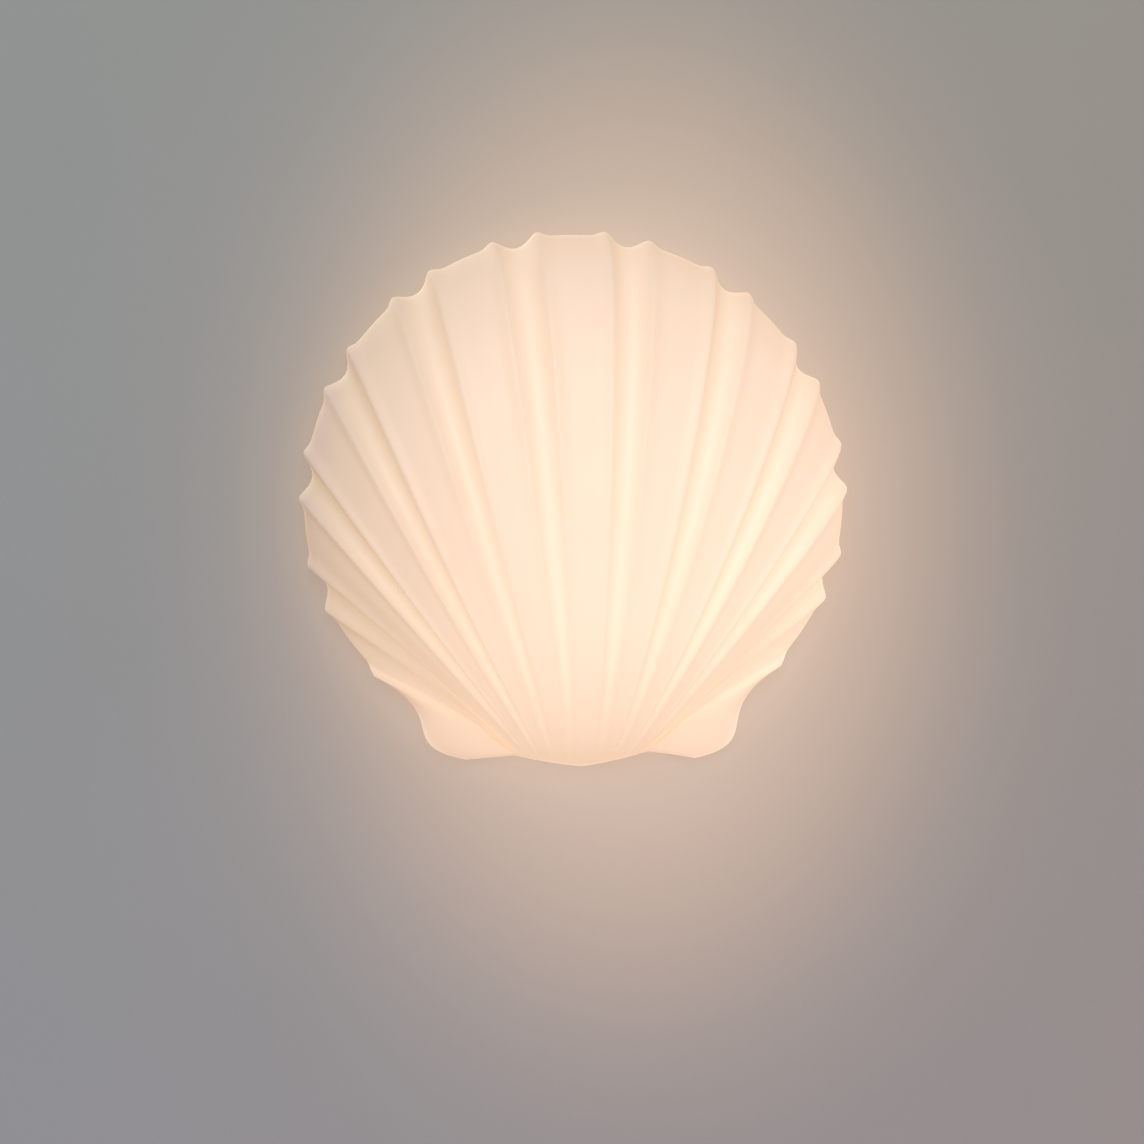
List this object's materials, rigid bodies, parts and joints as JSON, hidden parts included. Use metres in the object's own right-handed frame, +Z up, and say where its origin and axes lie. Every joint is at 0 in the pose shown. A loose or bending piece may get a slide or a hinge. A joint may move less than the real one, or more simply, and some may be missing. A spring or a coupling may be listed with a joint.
{
  "type": "shell wall sconce",
  "caption": "Wall light with an open-backed ribbed opal glass scallop shell that hangs on two hooks of a steel plate over a screw-cap bulb.",
  "frame": {"origin": "middle of the wall plate's back face, on the wall", "axes": "+Y into the wall, so the lamp stands off towards -Y; +Z up; +X to the right of someone who faces the lamp"},
  "size_m": [0.2796, 0.0763, 0.2707],
  "materials": {
    "opal_glass": "satin opal",
    "clear_silicone": "matt",
    "white_lacquer": "satin lacquer",
    "zinc_plated_steel": "zinc plated",
    "white_moulding": "moulded",
    "porcelain": "unglazed",
    "bare_brass": "rolled",
    "clear_moulding": "moulded",
    "brown_insulation": "extruded",
    "blue_insulation": "extruded",
    "green_yellow_insulation": "extruded",
    "tinned_copper": "tinned",
    "black_rubber": "matt",
    "solder": "cast",
    "black_glass": "gloss",
    "nickel_plated_brass": "plated",
    "frosted_bulb_glass": "frosted",
    "lamp_glass": "clear",
    "tungsten": "coiled"
  },
  "bodies": {
    "root": {"wall_plate": "white_lacquer", "hook_sleeves": "clear_silicone", "lampholder_bracket": "zinc_plated_steel", "bracket_screws": "zinc_plated_steel", "threaded_nipple": "zinc_plated_steel", "nipple_locknut": "zinc_plated_steel", "lampholder_cap": "white_moulding", "lampholder_body": "white_moulding", "lampholder_core": "porcelain", "lampholder_screw_shell": "bare_brass", "lampholder_centre_contact": "bare_brass", "terminal_block": "clear_moulding", "terminal_inserts": "bare_brass", "terminal_screws": "zinc_plated_steel", "block_screw": "zinc_plated_steel", "live_lead": "brown_insulation", "neutral_lead": "blue_insulation", "earth_lead": "green_yellow_insulation", "earth_tag": "tinned_copper", "earth_screw": "zinc_plated_steel", "cable_grommet": "black_rubber"},
    "shade": {"glass_shell": "opal_glass", "shell_feet": "clear_silicone"},
    "bulb_tip": {"bulb_contact": "solder"},
    "bulb": {"bulb_insulator": "black_glass", "bulb_cap": "nickel_plated_brass", "bulb_glass": "frosted_bulb_glass", "bulb_stem": "lamp_glass", "bulb_lead_wires": "tinned_copper", "bulb_filament": "tungsten"}
  },
  "joints": [
    {"name": "shade_lift", "type": "slide", "parent": "root", "child": "shade", "axis": [0, -0.7071, 0.7071], "range_m": [0, 0.15]},
    {"name": "bulb_advance", "type": "slide", "parent": "root", "child": "bulb_tip", "axis": [1, 0, 0], "range_m": [0, 0.0142]},
    {"name": "bulb_turn", "type": "hinge", "parent": "bulb_tip", "child": "bulb", "pos_m": [0, -0.031, 0], "axis": [1, 0, 0], "range_deg": [0, 1800]}
  ],
  "couplings": [
    {"joint": "bulb_advance", "follows": "bulb_turn", "m_per_rad": 0.00044882}
  ]
}
